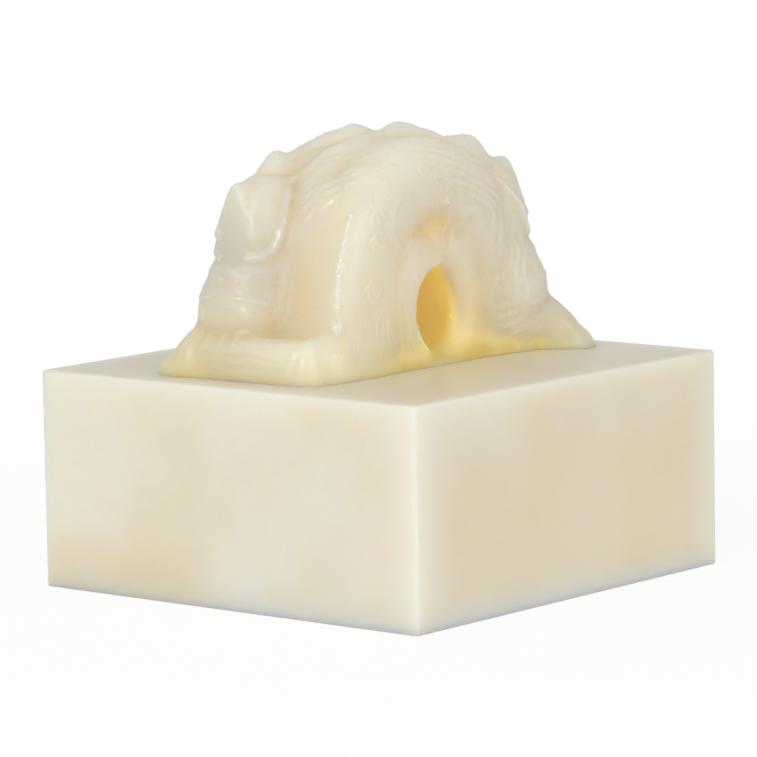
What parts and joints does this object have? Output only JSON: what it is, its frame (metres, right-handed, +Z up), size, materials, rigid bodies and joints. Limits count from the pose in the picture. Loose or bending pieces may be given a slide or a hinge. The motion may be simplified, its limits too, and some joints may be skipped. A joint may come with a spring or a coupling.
{
  "type": "seal stamp",
  "caption": "Square stone seal stamp with a carved double-dragon knob as its grip, pierced for a cord, and a cut printing face underneath.",
  "frame": {"origin": "middle of the printing face, which is the bottom of the block", "axes": "+Z up through the knob, +X and +Y square to the block's sides; the two dragons lie along Y, the front one facing -Y, and the cord hole runs along X"},
  "size_m": [0.1, 0.1, 0.0953],
  "materials": {
    "block_stone": "polished translucent pale stone",
    "knob_stone": "polished translucent pale stone, carved",
    "face_stone": "ground flat, satin"
  },
  "bodies": {
    "root": {"seal_block": "block_stone", "seal_face": "face_stone", "cord_web": "knob_stone", "front_dragon_trunk": "knob_stone", "front_dragon_head": "knob_stone", "front_dragon_crest": "knob_stone", "front_dragon_left_mane": "knob_stone", "front_dragon_right_mane": "knob_stone", "front_dragon_right_foreleg": "knob_stone", "front_dragon_left_foreleg": "knob_stone", "front_dragon_hind_leg": "knob_stone", "front_dragon_tail": "knob_stone", "rear_dragon_trunk": "knob_stone", "rear_dragon_head": "knob_stone", "rear_dragon_crest": "knob_stone", "rear_dragon_left_mane": "knob_stone", "rear_dragon_right_mane": "knob_stone", "rear_dragon_right_foreleg": "knob_stone", "rear_dragon_left_foreleg": "knob_stone", "rear_dragon_hind_leg": "knob_stone", "rear_dragon_tail": "knob_stone"}
  },
  "joints": []
}
